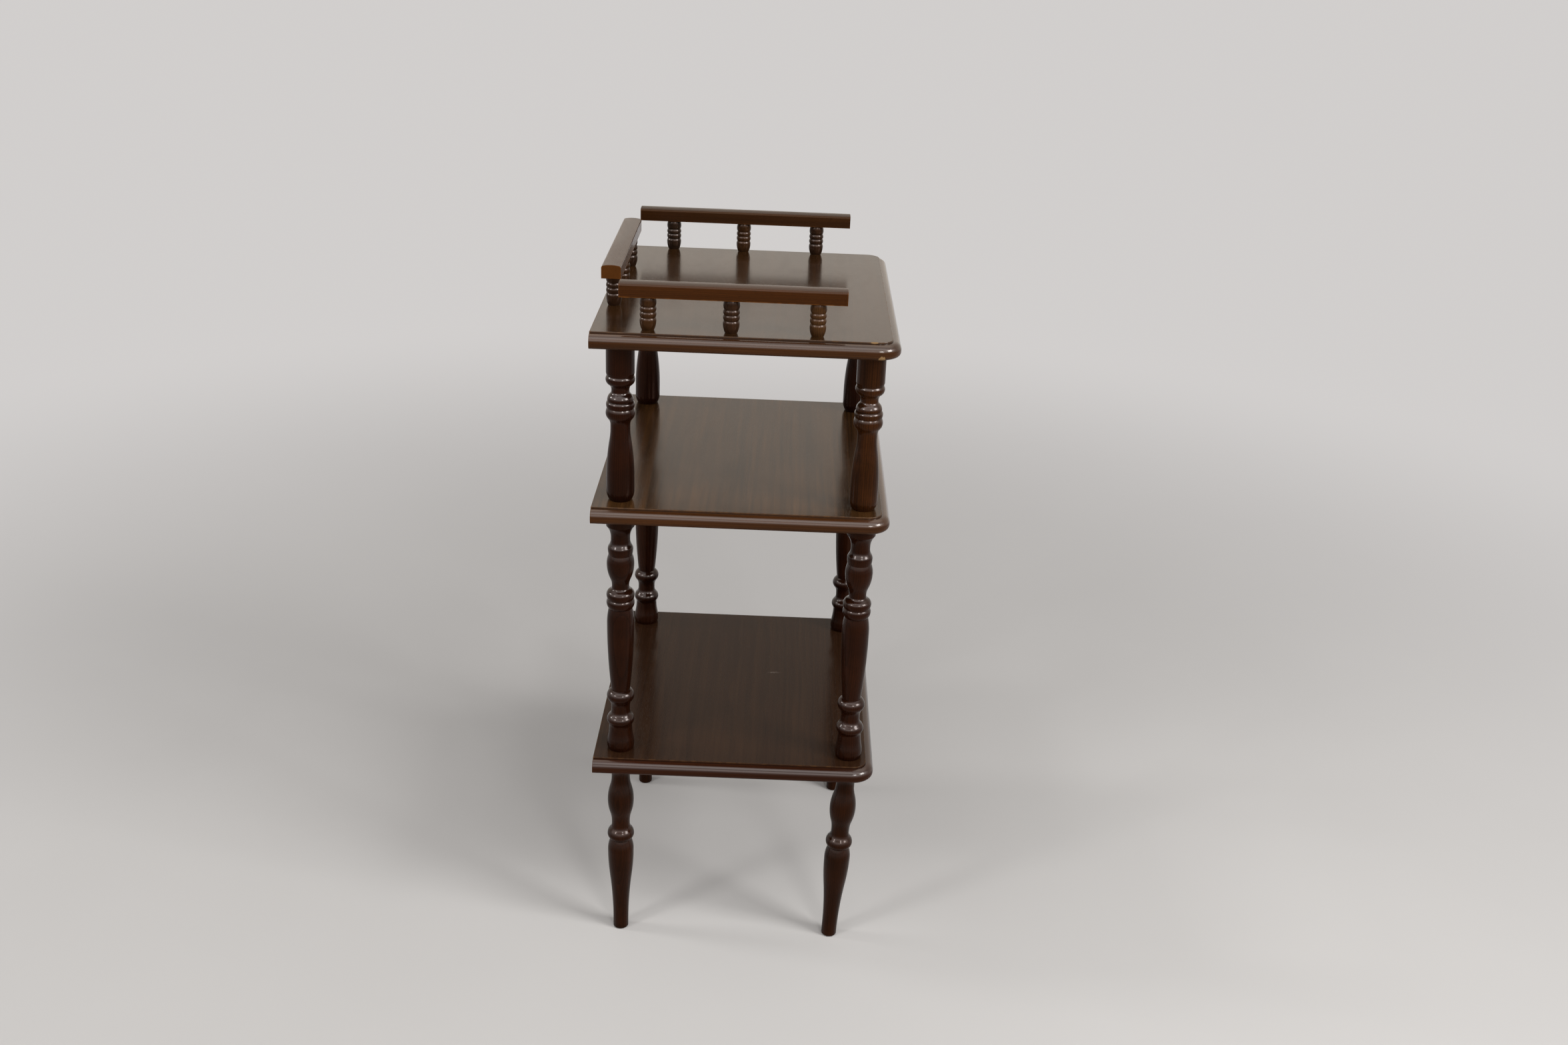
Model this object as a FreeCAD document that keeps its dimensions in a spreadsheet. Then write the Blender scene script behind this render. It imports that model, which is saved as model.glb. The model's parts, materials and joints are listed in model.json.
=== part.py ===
import FreeCAD, Part
import math
import os
import Sketcher
from FreeCAD import Placement, Rotation, Vector

# A three-tier etagere of turned and stained wood, with a low gallery on its top shelf.
# Millimetres, +Z up. The front faces -Y, and the origin is on the floor under the middle of the shelves.

DIMENSIONS = {
    # Shelves: three alike, square at the back, moulded along both sides and the front
    "shelf_width": 382.0,
    "shelf_depth": 305.0,
    "shelf_thickness": 16.4,
    "shelf_corner_radius": 23.0,
    "moulding_width": 8.3,
    "moulding_quirk": 0.5,
    "moulding_underside_radius": 4.5,
    "panel_step": 2.0,
    "edge_break": 0.5,
    # Places of the legs and posts, from the shelf's edges to their axes
    "post_side_inset": 34.2,
    "post_end_inset": 27.6,
    # Lengths between the floor and the shelves
    "leg_length": 221.2,
    "lower_post_length": 277.2,
    "upper_post_length": 167.9,
    # The front left leg stands askew: its foot is set back by this angle in degrees
    "front_left_lean": 2.6,
    # Radii that the legs and posts share
    "stock_radius": 14.9,
    "swell_radius": 14.5,
    "shallow_groove_radius": 13.7,
    "bead_radius": 13.3,
    "groove_radius": 12.5,
    "deep_groove_radius": 11.5,
    "neck_radius": 10.1,
    "cove_radius": 9.1,
    # Upper post, from its top down
    "upper_block": 32.0,
    "upper_block_chamfer": 3.2,
    "upper_ring": 3.6,
    "upper_cove_fall": 11.0,
    "upper_cove": 1.2,
    "upper_bulb": 9.6,
    "upper_bulb_groove": 0.9,
    "upper_first_bead": 3.5,
    "upper_bead_groove": 4.2,
    "upper_second_bead": 5.3,
    "upper_neck_fall": 12.5,
    "upper_neck": 4.0,
    "upper_swell": 12.0,
    "upper_seat_rounding": 10.0,
    "upper_seat_radius": 11.6,
    # Lower post, from its top down
    "lower_collar": 13.0,
    "lower_collar_cove": 13.0,
    "lower_throat": 3.0,
    "lower_first_bead": 10.3,
    "lower_bead_groove": 6.6,
    "lower_urn": 10.5,
    "lower_urn_fall": 25.0,
    "lower_neck": 1.5,
    "lower_torus": 9.0,
    "lower_torus_groove": 5.3,
    "lower_ring": 3.8,
    "lower_ring_groove": 6.6,
    "lower_swell": 18.0,
    "lower_ankle_ring": 7.5,
    "lower_ankle_fall": 13.5,
    "lower_ankle": 4.0,
    "lower_base_ring": 11.5,
    "lower_base_groove": 7.5,
    "lower_base": 23.0,
    "lower_seat_rounding": 5.0,
    "lower_seat_radius": 13.8,
    # Leg, from its top down
    "leg_collar": 8.0,
    "leg_collar_cove": 11.0,
    "leg_throat": 2.0,
    "leg_bulge": 30.0,
    "leg_bulge_fall": 28.5,
    "leg_neck": 3.0,
    "leg_ring": 12.5,
    "leg_ring_groove": 6.5,
    "leg_swell": 14.5,
    "leg_foot": 7.0,
    "foot_radius": 8.6,
    "foot_rounding": 2.0,
    "foot_edge_radius": 6.6,
    "leg_trim": 1.0,
    # Gallery rails
    "rail_width": 20.0,
    "rail_height": 14.2,
    "rail_crown": 1.3,
    "rail_edge_radius": 2.5,
    "left_rail_length": 222.0,
    "right_rail_length": 243.0,
    "back_rail_length": 222.0,
    "left_rail_inset": 21.5,
    "right_rail_inset": 17.5,
    "side_rail_setback": 139.0,
    "back_rail_inset": 13.5,
    # Gallery spindles, from their top down
    "spindle_pitch": 83.0,
    "side_middle_offset": 1.7,
    "spindle_length": 34.1,
    "spindle_radius": 8.2,
    "spindle_top_radius": 6.9,
    "spindle_groove_radius": 7.3,
    "spindle_seat_radius": 5.9,
    "spindle_barrel": 6.4,
    "spindle_barrel_groove": 3.6,
    "spindle_first_bead": 3.0,
    "spindle_bead_groove": 2.3,
    "spindle_second_bead": 2.9,
    "spindle_foot_groove": 3.0,
    "spindle_foot_barrel": 3.3,
    # Spindle tenons, dowel screws and dowels
    "tenon_radius": 3.5,
    "tenon_in_shelf": 9.0,
    "tenon_in_rail": 7.0,
    "screw_radius": 3.0,
    "screw_reach": 28.0,
    "screw_point": 8.0,
    "screw_tip_radius": 0.8,
    "dowel_radius": 4.0,
    "dowel_in_post": 25.0,
    "dowel_in_shelf": 10.0,
    "dowel_chamfer": 1.0,
    "dowel_tip_radius": 3.0,
    "bore_clearance": 0.15,
    "bore_end_clearance": 0.8,
}

# Turned outlines, as marks from the top down. At an EDGE mark the outline turns a corner, and at a ROUND
# mark it runs along the axis. Each mark has its fall below the mark above, its radius and its form, and REST
# is the fall that the length leaves over. Where a run bends one way and then the other, the last number is
# the share of the run, from the mark above, after which it turns over.
EDGE = "edge"
ROUND = "round"
REST = None

UPPER_POST = [
    ("upper_block", "swell_radius", EDGE),
    ("upper_block_chamfer", "shallow_groove_radius", EDGE),
    ("upper_ring", "stock_radius", ROUND),
    ("upper_cove_fall", "cove_radius", ROUND, 0.5),
    ("upper_cove", "cove_radius", ROUND),
    ("upper_bulb", "bead_radius", ROUND, 0.35),
    ("upper_bulb_groove", "groove_radius", EDGE),
    ("upper_first_bead", "swell_radius", ROUND),
    ("upper_bead_groove", "shallow_groove_radius", EDGE),
    ("upper_second_bead", "stock_radius", ROUND),
    ("upper_neck_fall", "neck_radius", ROUND, 0.45),
    ("upper_neck", "neck_radius", ROUND),
    (REST, "swell_radius", ROUND, 0.2),
    ("upper_swell", "swell_radius", ROUND),
    ("upper_seat_rounding", "upper_seat_radius", EDGE),
]

LOWER_POST = [
    ("lower_collar", "stock_radius", EDGE),
    ("lower_collar_cove", "neck_radius", ROUND),
    ("lower_throat", "neck_radius", ROUND),
    ("lower_first_bead", "bead_radius", ROUND, 0.65),
    ("lower_bead_groove", "groove_radius", EDGE),
    ("lower_urn", "swell_radius", ROUND),
    ("lower_urn_fall", "cove_radius", ROUND, 0.7),
    ("lower_neck", "cove_radius", ROUND),
    ("lower_torus", "stock_radius", ROUND, 0.4),
    ("lower_torus_groove", "shallow_groove_radius", EDGE),
    ("lower_ring", "stock_radius", ROUND),
    ("lower_ring_groove", "groove_radius", EDGE),
    ("lower_swell", "swell_radius", ROUND),
    (REST, "neck_radius", EDGE),
    ("lower_ankle_ring", "stock_radius", ROUND),
    ("lower_ankle_fall", "neck_radius", ROUND, 0.35),
    ("lower_ankle", "neck_radius", ROUND),
    ("lower_base_ring", "stock_radius", ROUND, 0.55),
    ("lower_base_groove", "groove_radius", ROUND, 0.5),
    ("lower_base", "stock_radius", ROUND, 0.6),
    ("lower_seat_rounding", "lower_seat_radius", EDGE),
]

LEG = [
    ("leg_collar", "stock_radius", EDGE),
    ("leg_collar_cove", "neck_radius", ROUND),
    ("leg_throat", "neck_radius", ROUND),
    ("leg_bulge", "swell_radius", ROUND, 0.4),
    ("leg_bulge_fall", "neck_radius", ROUND, 0.55),
    ("leg_neck", "neck_radius", ROUND),
    ("leg_ring", "stock_radius", ROUND, 0.5),
    ("leg_ring_groove", "deep_groove_radius", EDGE),
    ("leg_swell", "swell_radius", ROUND),
    (REST, "foot_radius", ROUND, 0.35),
    ("leg_foot", "foot_radius", ROUND),
    ("foot_rounding", "foot_edge_radius", EDGE),
]

SPINDLE = [
    ("spindle_barrel", "spindle_radius", ROUND),
    ("spindle_barrel_groove", "spindle_groove_radius", EDGE),
    ("spindle_first_bead", "spindle_radius", ROUND),
    ("spindle_bead_groove", "spindle_groove_radius", EDGE),
    ("spindle_second_bead", "spindle_radius", ROUND),
    ("spindle_foot_groove", "spindle_groove_radius", EDGE),
    ("spindle_foot_barrel", "spindle_radius", ROUND),
    (REST, "spindle_seat_radius", EDGE),
]

# A sketch's own axes, of which the one across starts at its origin, and the points of its lines and arcs
UPRIGHT, ACROSS = range(-2, 0)
START, END, CENTRE = range(1, 4)

doc = FreeCAD.newDocument("etagere")
sheet = doc.addObject("Spreadsheet::Sheet", "dims")
pieces = []


class Size:
    """A length of the sheet, or a sum of such lengths: its value and its expression stay together."""

    def __init__(self, value, expression):
        self.value = value
        self.expression = expression

    def __add__(self, other):
        return Size(self.value + other.value, f"({self.expression} + {other.expression})")

    def __sub__(self, other):
        return Size(self.value - other.value, f"({self.expression} - {other.expression})")

    def __mul__(self, factor):
        factor = as_size(factor)
        return Size(self.value * factor.value, f"({self.expression} * {factor.expression})")

    def __truediv__(self, divisor):
        divisor = as_size(divisor)
        return Size(self.value / divisor.value, f"({self.expression} / {divisor.expression})")

    def __neg__(self):
        return self * -1


def as_size(amount):
    return amount if isinstance(amount, Size) else Size(amount, repr(amount))


ZERO = Size(0.0, "0")


def size(alias):
    return Size(float(sheet.get(alias)), f"dims.{alias}")


def sine(angle):
    return Size(math.sin(math.radians(angle.value)), f"sin({angle.expression})")


def cosine(angle):
    return Size(math.cos(math.radians(angle.value)), f"cos({angle.expression})")


def lesser(first, second):
    return Size(min(first.value, second.value), f"min({first.expression}; {second.expression})")


def fill_sheet():
    """Writes the driving dimensions into the sheet, one aliased cell each."""
    for row, (alias, value) in enumerate(DIMENSIONS.items(), start=1):
        sheet.set(f"A{row}", alias)
        sheet.set(f"B{row}", str(value))
        sheet.setAlias(f"B{row}", alias)
    doc.recompute()


def bind(feature, field, amount):
    feature.setExpression(field, amount.expression)


def put(piece, x, y, z):
    """Places a piece by sizes of the sheet."""
    for axis, amount in zip("xyz", (x, y, z)):
        bind(piece, f"Placement.Base.{axis}", amount)


def new_body(label):
    body = doc.addObject("PartDesign::Body", label)
    body.Label = label
    return body


def new_sketch(body, name, plane, level=ZERO):
    """A sketch on one of the body's own planes, moved along the plane's normal to a level."""
    sketch = body.newObject("Sketcher::SketchObject", f"{body.Name}_{name}")
    support = next(item for item in body.Origin.OriginFeatures if item.Role == plane)
    sketch.AttachmentSupport = [(support, "")]
    sketch.MapMode = "FlatFace"
    if level is not ZERO:
        bind(sketch, "AttachmentOffset.Base.z", level)
    return sketch


def add_sized(sketch, kind, places, amount):
    """Adds a constraint of one kind that follows a size."""
    index = sketch.addConstraint(Sketcher.Constraint(kind, *places, amount.value))
    bind(sketch, f"Constraints[{index}]", amount)


def place_point(sketch, edge, point, across, up):
    """Ties a point of an edge to its two sizes."""
    for kind, amount, axis in (("DistanceX", across, UPRIGHT), ("DistanceY", up, ACROSS)):
        if amount is ZERO:
            sketch.addConstraint(Sketcher.Constraint("PointOnObject", edge, point, axis))
        else:
            add_sized(sketch, kind, (ACROSS, START, edge, point), amount)


def arc_between(start, end, bend):
    """The arc of one edge. A bend of START or END is level with that end, and a Size is a radius."""
    chord = end - start
    if isinstance(bend, Size):
        inward = Vector(-chord.y, chord.x, 0).normalize()
        rise = math.sqrt(bend.value**2 - chord.Length**2 / 4)
        centre = (start + end) / 2 + inward * rise
    elif bend == START:
        centre = start + Vector(chord.Length**2 / (2 * chord.x), 0, 0)
    else:
        centre = end - Vector(chord.Length**2 / (2 * chord.x), 0, 0)
    outward = ((start + end) / 2 - centre).normalize()
    return Part.Arc(start, centre + outward * (start - centre).Length, end)


def draw_outline(sketch, corners, bends):
    """Draws a closed outline, anticlockwise. Edge n runs from corner n to the next and bends as bends[n]."""
    count = len(corners)
    spots = [Vector(across.value, up.value, 0) for across, up in corners]
    for number, bend in enumerate(bends):
        start, end = spots[number], spots[(number + 1) % count]
        edge = arc_between(start, end, bend) if bend else Part.LineSegment(start, end)
        sketch.addGeometry(edge, False)
    firsts = [START if sketch.getPoint(n, START).isEqual(spots[n], 1e-4) else END for n in range(count)]
    lasts = [END if first == START else START for first in firsts]
    for number in range(count):
        after = (number + 1) % count
        sketch.addConstraint(Sketcher.Constraint("Coincident", number, lasts[number], after, firsts[after]))
    for number, (across, up) in enumerate(corners):
        place_point(sketch, number, firsts[number], across, up)
    for number, bend in enumerate(bends):
        if isinstance(bend, Size):
            add_sized(sketch, "Radius", (number,), bend)
        elif bend:
            level_end = firsts[number] if bend == START else lasts[number]
            sketch.addConstraint(Sketcher.Constraint("Horizontal", number, CENTRE, number, level_end))


def draw_circles(sketch, centres, radius):
    for number, (x, y) in enumerate(centres):
        sketch.addGeometry(Part.Circle(Vector(x.value, y.value, 0), Vector(0, 0, 1), radius.value), False)
        place_point(sketch, number, CENTRE, x, y)
        add_sized(sketch, "Radius", (number,), radius)


def pad(body, sketch, length):
    feature = body.newObject("PartDesign::Pad", f"{sketch.Name}_pad")
    feature.Profile = sketch
    bind(feature, "Length", length)
    doc.recompute()
    return feature


def pocket(body, sketch, depth, upward):
    """Cuts the sketch out of the body, upward or downward, and makes sure that the cut meets wood."""
    before = body.Shape.Volume
    feature = body.newObject("PartDesign::Pocket", f"{sketch.Name}_pocket")
    feature.Profile = sketch
    feature.Reversed = upward
    bind(feature, "Length", depth)
    doc.recompute()
    if not feature.Shape.Volume < before:
        raise RuntimeError(f"{feature.Name} cuts nothing")


def bore(body, name, centres, radius, depth, level=ZERO, upward=False):
    """Round holes of one size, from a level of the body."""
    sketch = new_sketch(body, name, "XY_Plane", level)
    draw_circles(sketch, centres, radius + size("bore_clearance"))
    pocket(body, sketch, depth, upward)


def fillet(body, radius, chosen):
    """Rounds the edges that chosen picks from the body's last feature."""
    base = body.Tip
    edges = [f"Edge{n}" for n, edge in enumerate(base.Shape.Edges, start=1) if chosen(edge.BoundBox)]
    feature = body.newObject("PartDesign::Fillet", f"{base.Name}_fillet")
    feature.Base = (base, edges)
    bind(feature, "Radius", radius)
    doc.recompute()


def near(first, second):
    return abs(first - second) < 1e-4


def mark_levels(marks, length):
    """Heights of the marks: those above the REST mark fall from the top, the others rise from the foot."""
    split = [mark[0] for mark in marks].index(REST)
    falling = []
    level = length
    for mark in marks[:split]:
        level = level - size(mark[0])
        falling.append(level)
    rising = [ZERO]
    for mark in reversed(marks[split + 1:]):
        rising.append(rising[-1] + size(mark[0]))
    return falling + rising[::-1]


def turned_outline(marks, length, top_radius):
    """Corners and bends of a turned piece's outside, from its foot up to its top."""
    spots = [(top_radius, length, EDGE, None)]
    for (_, radius, form, *share), level in zip(marks, mark_levels(marks, length)):
        spots.append((size(radius), level, form, share[0] if share else None))
    spots.reverse()
    corners = []
    bends = []
    for low, high in zip(spots, spots[1:]):
        low_radius, low_level, low_form, share = low
        high_radius, high_level, high_form, _ = high
        corners.append((low_radius, low_level))
        if share:
            turn_radius = high_radius + (low_radius - high_radius) * share
            turn_level = high_level + (low_level - high_level) * share
            corners.append((turn_radius, turn_level))
            bends.extend([START, END])
        elif low_form == high_form:
            bends.append(None)
        else:
            bends.append(START if low_form == ROUND else END)
    corners.append((top_radius, length))
    return corners, bends


def turned_body(label, marks, length, top_radius, foot, head, lean=ZERO):
    """A turned piece about its own axis. foot and head are the corners from the axis to the outside below,
    and from the outside back to the axis above. lean tips the axis towards -Y."""
    body = new_body(label)
    sketch = new_sketch(body, "outline", "YZ_Plane")
    if lean is not ZERO:
        sketch.AttachmentOffset = Placement(Vector(), Rotation(Vector(0, 0, 1), lean.value))
        bind(sketch, "AttachmentOffset.Rotation.Angle", lean)
    corners, bends = turned_outline(marks, length, top_radius)
    draw_outline(sketch, foot + corners + head, [None] * len(foot) + bends + [None] * (len(head) + 1))
    turn(body, sketch)
    return body


def turn(body, sketch):
    feature = body.newObject("PartDesign::Revolution", f"{sketch.Name}_turning")
    feature.Profile = sketch
    feature.ReferenceAxis = (sketch, ["V_Axis"])
    feature.Angle = 360.0
    doc.recompute()


def stepped_end(radius, level, face):
    """Corners of a bore or a tenon, from the axis at its end to the face that it starts from."""
    return [(ZERO, level), (radius, level), (radius, face)]


def shelf_outline(inset, radius):
    """The shelf seen from above, drawn in from its moulded edges."""
    side = size("shelf_width") / 2 - inset
    back = size("shelf_depth") / 2
    front = inset - back
    corners = [
        (-side, back),
        (-side, front + radius),
        (radius - side, front),
        (side - radius, front),
        (side, front + radius),
        (side, back),
    ]
    return corners, [None, radius, None, radius, None, None]


def post_places():
    """Axes of the legs and posts, under the names of their corners."""
    x = size("shelf_width") / 2 - size("post_side_inset")
    y = size("shelf_depth") / 2 - size("post_end_inset")
    return {
        "front_left": (-x, -y),
        "front_right": (x, -y),
        "back_left": (-x, y),
        "back_right": (x, y),
    }


def gallery_places():
    """For each rail its middle, its length, whether it runs along a side, and its middle spindle's offset."""
    side = size("shelf_width") / 2
    back = size("shelf_depth") / 2
    left = size("left_rail_inset") - side
    right = side - size("right_rail_inset")
    along = back - size("side_rail_setback")
    offset = size("side_middle_offset")
    return {
        "left": (left, along, size("left_rail_length"), True, offset),
        "right": (right, along, size("right_rail_length"), True, offset),
        "back": (ZERO, back - size("back_rail_inset"), size("back_rail_length"), False, ZERO),
    }


def spindle_places():
    """Axes of the spindles, under the names of their rail and their place on it."""
    pitch = size("spindle_pitch")
    places = {}
    for rail_name, (x, y, _, sideways, offset) in gallery_places().items():
        names = ("front", "middle", "back") if sideways else ("left", "middle", "right")
        for name, along in zip(names, (-pitch, offset, pitch)):
            places[f"{rail_name}_spindle_{name}"] = (x, y + along) if sideways else (along, y)
    return places


def make_shelf(label, level):
    """A board with a raised panel, a shoulder and a rounded edge on three sides, still without its bores."""
    body = new_body(label)
    rim_height = size("shelf_thickness") - size("panel_step")
    back = size("shelf_depth").value / 2
    rim = new_sketch(body, "rim", "XY_Plane")
    draw_outline(rim, *shelf_outline(ZERO, size("shelf_corner_radius")))
    pad(body, rim, rim_height)
    ovolo = lesser(size("moulding_width") - size("moulding_quirk"), rim_height * 0.9)
    fillet(body, ovolo, lambda box: near(box.ZMin, rim_height.value) and not near(box.YMin, back))
    underside = lesser(size("moulding_underside_radius"), (rim_height - ovolo) * 0.9)
    fillet(body, underside, lambda box: near(box.ZMax, 0.0) and not near(box.YMin, back))
    panel = new_sketch(body, "panel", "XY_Plane", rim_height)
    panel_radius = size("shelf_corner_radius") - size("moulding_width")
    draw_outline(panel, *shelf_outline(size("moulding_width"), panel_radius))
    pad(body, panel, size("panel_step"))
    fillet(body, size("edge_break"), lambda box: near(box.ZMin, size("shelf_thickness").value))
    put(body, ZERO, ZERO, level)
    pieces.append(body)
    return body


def make_post(label, marks, length, x, y, level, top_radius, top_depth):
    """A turned post, bored from below for its screw and from above for the next screw or dowel."""
    clearance = size("bore_clearance")
    end_clearance = size("bore_end_clearance")
    foot = stepped_end(size("screw_radius") + clearance, size("screw_reach") + end_clearance, ZERO)
    head = stepped_end(top_radius + clearance, length - top_depth - end_clearance, length)
    block_radius = size(marks[0][1])
    body = turned_body(label, marks, length, block_radius, foot, head[::-1])
    put(body, x, y, level)
    pieces.append(body)


def make_leg(label, x, y, lean):
    """A turned leg with its foot on the floor, cut level under the shelf and bored upright for its screw."""
    stock = size("stock_radius")
    slope = sine(lean) / cosine(lean)
    lift = size("foot_edge_radius") * sine(lean)
    upright = size("leg_length") - lift
    setback = upright * slope
    length = upright / cosine(lean)
    trim = size("leg_trim") + stock * slope
    head = [(stock, length + trim), (ZERO, length + trim)]
    body = turned_body(label, LEG, length, stock, [(ZERO, ZERO)], head, lean)
    axis = [(ZERO, -setback)]
    top = new_sketch(body, "top", "XY_Plane", upright)
    draw_circles(top, axis, stock * 2)
    pocket(body, top, trim * 3, True)
    depth = size("screw_reach") + size("bore_end_clearance")
    bore(body, "bore", axis, size("screw_radius"), depth, upright)
    put(body, x, y + setback, lift)
    pieces.append(body)


def make_spindle(label, x, y, level):
    """A short turned spindle with a tenon at each end."""
    length = size("spindle_length")
    tenon = size("tenon_radius")
    foot = stepped_end(tenon, -size("tenon_in_shelf"), ZERO)
    head = stepped_end(tenon, length + size("tenon_in_rail"), length)
    body = turned_body(label, SPINDLE, length, size("spindle_top_radius"), foot, head[::-1])
    put(body, x, y, level)
    pieces.append(body)


def make_rail(label, x, y, length, sideways, offset, level):
    """A gallery rail with a crowned top, square-cut ends and three sockets in its underside."""
    body = new_body(label)
    half = size("rail_width") / 2
    crown = size("rail_crown")
    shoulder = size("rail_height") - crown
    crown_radius = (half * half + crown * crown) / (crown * 2)
    section = new_sketch(body, "section", "YZ_Plane", -length / 2)
    corners = [(-half, ZERO), (half, ZERO), (half, shoulder), (-half, shoulder)]
    draw_outline(section, corners, [None, None, crown_radius, None])
    pad(body, section, length)
    top_edges = lambda box: box.XLength > half.value and near(box.ZMin, shoulder.value)
    fillet(body, size("rail_edge_radius"), top_edges)
    fillet(body, size("edge_break"), lambda box: near(box.XLength, 0.0))
    pitch = size("spindle_pitch")
    depth = size("tenon_in_rail") + size("bore_end_clearance")
    sockets = [(-pitch, ZERO), (offset, ZERO), (pitch, ZERO)]
    bore(body, "sockets", sockets, size("tenon_radius"), depth, upward=True)
    if sideways:
        body.Placement = Placement(Vector(), Rotation(Vector(0, 0, 1), 90))
    put(body, x, y, level)
    pieces.append(body)


def make_pins(label, places, level, length, radius, tip_radius, tip):
    """A set of like pins, each pointed at both ends, at the given places."""
    pins = []
    for corner, (x, y) in places.items():
        body = new_body(f"{label}_{corner}")
        sketch = new_sketch(body, "outline", "YZ_Plane")
        corners = [
            (ZERO, ZERO),
            (tip_radius, ZERO),
            (radius, tip),
            (radius, length - tip),
            (tip_radius, length),
            (ZERO, length),
        ]
        draw_outline(sketch, corners, [None] * len(corners))
        turn(body, sketch)
        put(body, x, y, level)
        pins.append(body)
    group = doc.addObject("Part::Compound", label)
    group.Label = label
    group.Links = pins
    pieces.append(group)
    doc.recompute()


def build():
    thickness = size("shelf_thickness")
    bottom_level = size("leg_length")
    lower_level = bottom_level + thickness
    middle_level = lower_level + size("lower_post_length")
    upper_level = middle_level + thickness
    top_level = upper_level + size("upper_post_length")
    gallery_level = top_level + thickness
    rail_level = gallery_level + size("spindle_length")
    posts = post_places()
    screw_bore = (size("screw_radius"), size("screw_reach"))
    dowel_bore = (size("dowel_radius"), size("dowel_in_post"))
    end_clearance = size("bore_end_clearance")

    # Shelves and their bores
    for label, level in (("bottom_shelf", bottom_level), ("middle_shelf", middle_level)):
        shelf = make_shelf(label, level)
        bore(shelf, "bores", posts.values(), size("screw_radius"), thickness, upward=True)
    top_shelf = make_shelf("top_shelf", top_level)
    dowel_depth = size("dowel_in_shelf") + end_clearance
    bore(top_shelf, "dowel_bores", posts.values(), size("dowel_radius"), dowel_depth, upward=True)
    socket_depth = size("tenon_in_shelf") + end_clearance
    spindles = spindle_places()
    bore(top_shelf, "sockets", spindles.values(), size("tenon_radius"), socket_depth, thickness)

    # Legs and posts
    for corner, (x, y) in posts.items():
        lean = size("front_left_lean") if corner == "front_left" else ZERO
        make_leg(f"{corner}_leg", x, y, lean)
        lower_length = size("lower_post_length")
        make_post(f"{corner}_lower_post", LOWER_POST, lower_length, x, y, lower_level, *screw_bore)
        upper_length = size("upper_post_length")
        make_post(f"{corner}_upper_post", UPPER_POST, upper_length, x, y, upper_level, *dowel_bore)

    # Gallery
    for label, (x, y) in spindles.items():
        make_spindle(label, x, y, gallery_level)
    for name, place in gallery_places().items():
        make_rail(f"{name}_rail", *place, rail_level)

    # Screws and dowels that hold the tiers together
    reach = size("screw_reach")
    screw_form = (thickness + reach * 2, size("screw_radius"), size("screw_tip_radius"), size("screw_point"))
    make_pins("bottom_shelf_dowel_screws", posts, bottom_level - reach, *screw_form)
    make_pins("middle_shelf_dowel_screws", posts, middle_level - reach, *screw_form)
    dowel_length = size("dowel_in_post") + size("dowel_in_shelf")
    dowel_form = (dowel_length, size("dowel_radius"), size("dowel_tip_radius"), size("dowel_chamfer"))
    make_pins("top_shelf_dowels", posts, top_level - size("dowel_in_post"), *dowel_form)


def check():
    """Stops if a feature is in error, or if a piece is empty, broken or in the wrong number of solids."""
    doc.recompute()
    for item in doc.Objects:
        if {"Invalid", "Error"} & set(item.State):
            raise RuntimeError(f"{item.Name}: {item.State}")
    for piece in pieces:
        solids = len(piece.Links) if piece.TypeId == "Part::Compound" else 1
        if piece.Shape.isNull() or not piece.Shape.isValid() or len(piece.Shape.Solids) != solids:
            raise RuntimeError(f"{piece.Label} is not sound")


def export():
    os.makedirs("parts", exist_ok=True)
    for piece in pieces:
        piece.Shape.exportStep(f"parts/{piece.Label}.step")


fill_sheet()
build()
check()
export()
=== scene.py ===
"""Looks of a three-tier turned etagere: stained, lacquered wood, a pale floor and soft lamps."""
import json
import math
import random
from collections import namedtuple

import bpy
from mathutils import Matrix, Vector

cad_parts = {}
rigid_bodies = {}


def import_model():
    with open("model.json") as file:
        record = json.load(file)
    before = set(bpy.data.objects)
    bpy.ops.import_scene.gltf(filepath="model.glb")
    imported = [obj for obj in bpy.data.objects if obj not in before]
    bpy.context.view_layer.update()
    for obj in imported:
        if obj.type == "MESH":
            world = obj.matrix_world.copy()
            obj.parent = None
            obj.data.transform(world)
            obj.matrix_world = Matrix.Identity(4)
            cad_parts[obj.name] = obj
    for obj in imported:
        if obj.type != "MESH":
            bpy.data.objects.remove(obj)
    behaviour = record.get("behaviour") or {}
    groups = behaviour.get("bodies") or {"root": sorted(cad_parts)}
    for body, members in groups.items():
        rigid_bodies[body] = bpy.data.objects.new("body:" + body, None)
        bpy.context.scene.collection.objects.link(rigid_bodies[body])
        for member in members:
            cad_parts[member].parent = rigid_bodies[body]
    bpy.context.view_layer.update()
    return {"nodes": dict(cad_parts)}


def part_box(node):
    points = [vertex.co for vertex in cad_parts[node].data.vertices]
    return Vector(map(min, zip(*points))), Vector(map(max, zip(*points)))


# The scene starts empty, so that it holds only the frame and what is made below
for spare in list(bpy.data.objects):
    bpy.data.objects.remove(spare)
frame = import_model()

# Wood is drawn in millimetres, in a frame of metres
MILLIMETRE = 0.001
ORIGIN = (0.0, 0.0, 0.0)

# Radius of a shelf's front corners, width of the moulding round it, and half the width of the line where the
# moulding's colour gives way to the panel's, in millimetres
SHELF_CORNER = 23.0
MOULDING = 8.3
PANEL_LINE = 0.1

# Turns that bring grain along an axis of the frame onto the third axis of the wood
GRAIN_TURN = {"X": (0.0, math.pi / 2, 0.0), "Y": (-math.pi / 2, 0.0, 0.0), "Z": (0.0, 0.0, 0.0)}

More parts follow.
